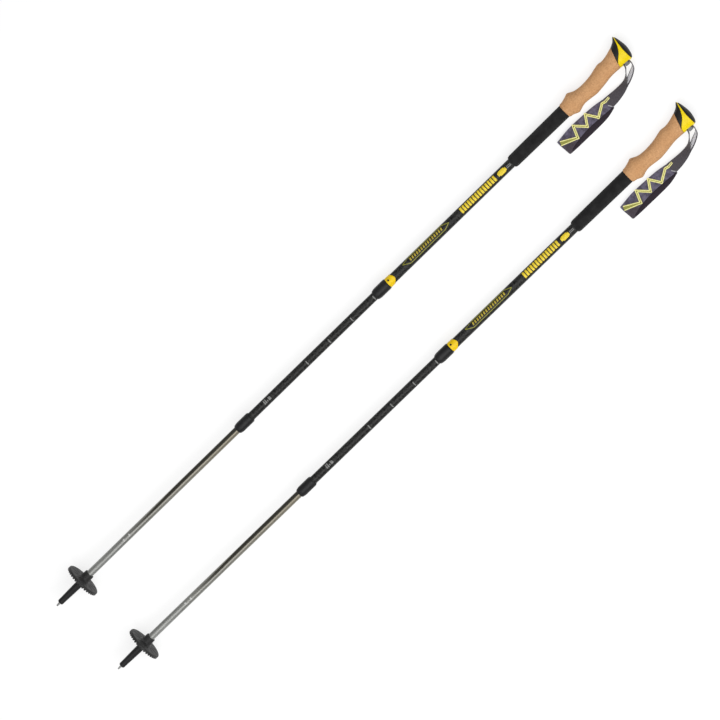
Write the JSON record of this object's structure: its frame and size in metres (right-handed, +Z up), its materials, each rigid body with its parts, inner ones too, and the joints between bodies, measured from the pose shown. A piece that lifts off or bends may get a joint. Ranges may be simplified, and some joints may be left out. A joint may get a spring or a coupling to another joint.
{
  "type": "trekking poles",
  "caption": "Pair of three-section twist-lock trekking poles lying side by side, with cork grips, foam sleeves, wrist straps, round baskets and hard tips.",
  "frame": {"origin": "on the floor the poles lie on, under the middle of the bounding box of the pair", "axes": "+X along the poles from the tips to the handles, +Y across towards the finger side of the grips, +Z up"},
  "size_m": [1.2965, 0.2304, 0.062],
  "materials": {
    "carbide": "ground hard metal",
    "black_plastic": "satin moulded nylon",
    "basket_plastic": "matt flexible plastic",
    "lower_tube": "satin tube fading from silver to dark olive grey",
    "carbon": "lacquered carbon weave with plain printed marks",
    "steel": "turned and threaded steel",
    "nylon": "natural nylon",
    "yellow_plastic": "satin yellow plastic",
    "foam": "closed-cell foam, fine pores",
    "cork": "pressed cork granules",
    "soft_black": "soft-touch rubber",
    "grey_plastic": "matt grey plastic",
    "webbing": "narrow woven webbing",
    "wrist_band": "wide woven band with a stitched zigzag"
  },
  "bodies": {
    "left_handle": {"left_upper_lock_collar": "black_plastic", "left_upper_lock_ring": "yellow_plastic", "left_upper_tube": "carbon", "left_foam_grip": "foam", "left_cork_grip": "cork", "left_head_base": "black_plastic", "left_head_inlay": "yellow_plastic", "left_head_cap": "soft_black", "left_strap_pin": "steel"},
    "left_upper_expander": {"left_upper_lock_expander": "nylon"},
    "left_upper_cone": {"left_upper_lock_cone": "nylon"},
    "left_middle": {"left_lower_lock_collar": "black_plastic", "left_middle_tube": "carbon", "left_upper_lock_stud": "steel"},
    "left_lower_expander": {"left_lower_lock_expander": "nylon"},
    "left_lower_cone": {"left_lower_lock_cone": "nylon"},
    "left_lower": {"left_lower_tube": "lower_tube", "left_lower_lock_stud": "steel", "left_tip_ferrule": "black_plastic", "left_carbide_tip": "carbide"},
    "left_basket": {"left_basket": "basket_plastic"},
    "left_wedge": {"left_strap_wedge": "grey_plastic"},
    "left_strap": {"left_strap_webbing_inner": "webbing", "left_strap_webbing_outer": "webbing", "left_wrist_band": "wrist_band"},
    "right_handle": {"right_upper_lock_collar": "black_plastic", "right_upper_lock_ring": "yellow_plastic", "right_upper_tube": "carbon", "right_foam_grip": "foam", "right_cork_grip": "cork", "right_head_base": "black_plastic", "right_head_inlay": "yellow_plastic", "right_head_cap": "soft_black", "right_strap_pin": "steel"},
    "right_upper_expander": {"right_upper_lock_expander": "nylon"},
    "right_upper_cone": {"right_upper_lock_cone": "nylon"},
    "right_middle": {"right_lower_lock_collar": "black_plastic", "right_middle_tube": "carbon", "right_upper_lock_stud": "steel"},
    "right_lower_expander": {"right_lower_lock_expander": "nylon"},
    "right_lower_cone": {"right_lower_lock_cone": "nylon"},
    "right_lower": {"right_lower_tube": "lower_tube", "right_lower_lock_stud": "steel", "right_tip_ferrule": "black_plastic", "right_carbide_tip": "carbide"},
    "right_basket": {"right_basket": "basket_plastic"},
    "right_wedge": {"right_strap_wedge": "grey_plastic"},
    "right_strap": {"right_strap_webbing_inner": "webbing", "right_strap_webbing_outer": "webbing", "right_wrist_band": "wrist_band"}
  },
  "joints": [
    {"name": "left_upper_slide", "type": "slide", "parent": "left_handle", "child": "left_upper_expander", "axis": [0.9999, 0, -0.0131], "range_m": [-0.025, 0.28]},
    {"name": "left_upper_twist", "type": "hinge", "parent": "left_upper_expander", "child": "left_middle", "pos_m": [0.20568, 0.08405, 0.02062], "axis": [0.9999, 0, -0.0131], "range_deg": [0, 540]},
    {"name": "left_upper_cone_travel", "type": "slide", "parent": "left_upper_expander", "child": "left_upper_cone", "axis": [0.9999, 0, -0.0131], "range_m": [0, 0.0016]},
    {"name": "left_lower_slide", "type": "slide", "parent": "left_middle", "child": "left_lower_expander", "axis": [0.9999, 0, -0.0131], "range_m": [-0.025, 0.285]},
    {"name": "left_lower_twist", "type": "hinge", "parent": "left_lower_expander", "child": "left_lower", "pos_m": [-0.14829, 0.08405, 0.02526], "axis": [0.9999, 0, -0.0131], "range_deg": [0, 540]},
    {"name": "left_lower_cone_travel", "type": "slide", "parent": "left_lower_expander", "child": "left_lower_cone", "axis": [0.9999, 0, -0.0131], "range_m": [0, 0.0016]},
    {"name": "left_basket_turn", "type": "hinge", "parent": "left_lower", "child": "left_basket", "pos_m": [-0.58625, 0.08405, 0.031], "axis": [0.9999, 0, -0.0131], "range_deg": [0, 360]},
    {"name": "left_wedge_slide", "type": "slide", "parent": "left_handle", "child": "left_wedge", "axis": [0, -1, 0], "range_m": [0, 0.004]},
    {"name": "left_strap_swing", "type": "hinge", "parent": "left_handle", "child": "left_strap", "pos_m": [0.63015, 0.06785, 0.0153], "axis": [0, 0, 1], "range_deg": [-2, 20]},
    {"name": "right_upper_slide", "type": "slide", "parent": "right_handle", "child": "right_upper_expander", "axis": [0.9999, 0, -0.0131], "range_m": [-0.025, 0.28]},
    {"name": "right_upper_twist", "type": "hinge", "parent": "right_upper_expander", "child": "right_middle", "pos_m": [0.20568, -0.05895, 0.02062], "axis": [0.9999, 0, -0.0131], "range_deg": [0, 540]},
    {"name": "right_upper_cone_travel", "type": "slide", "parent": "right_upper_expander", "child": "right_upper_cone", "axis": [0.9999, 0, -0.0131], "range_m": [0, 0.0016]},
    {"name": "right_lower_slide", "type": "slide", "parent": "right_middle", "child": "right_lower_expander", "axis": [0.9999, 0, -0.0131], "range_m": [-0.025, 0.285]},
    {"name": "right_lower_twist", "type": "hinge", "parent": "right_lower_expander", "child": "right_lower", "pos_m": [-0.14829, -0.05895, 0.02526], "axis": [0.9999, 0, -0.0131], "range_deg": [0, 540]},
    {"name": "right_lower_cone_travel", "type": "slide", "parent": "right_lower_expander", "child": "right_lower_cone", "axis": [0.9999, 0, -0.0131], "range_m": [0, 0.0016]},
    {"name": "right_basket_turn", "type": "hinge", "parent": "right_lower", "child": "right_basket", "pos_m": [-0.58625, -0.05895, 0.031], "axis": [0.9999, 0, -0.0131], "range_deg": [0, 360]},
    {"name": "right_wedge_slide", "type": "slide", "parent": "right_handle", "child": "right_wedge", "axis": [0, -1, 0], "range_m": [0, 0.004]},
    {"name": "right_strap_swing", "type": "hinge", "parent": "right_handle", "child": "right_strap", "pos_m": [0.63015, -0.07515, 0.0153], "axis": [0, 0, 1], "range_deg": [-2, 20]},
    {"name": "pair_spacing", "type": "slide", "parent": "left_handle", "child": "right_handle", "axis": [0, -1, 0], "range_m": [0, 0.3]}
  ],
  "couplings": [
    {"joint": "left_upper_cone_travel", "follows": "left_upper_twist", "m_per_rad": 0.00015915},
    {"joint": "left_lower_cone_travel", "follows": "left_lower_twist", "m_per_rad": 0.00015915},
    {"joint": "right_upper_cone_travel", "follows": "right_upper_twist", "m_per_rad": 0.00015915},
    {"joint": "right_lower_cone_travel", "follows": "right_lower_twist", "m_per_rad": 0.00015915}
  ]
}
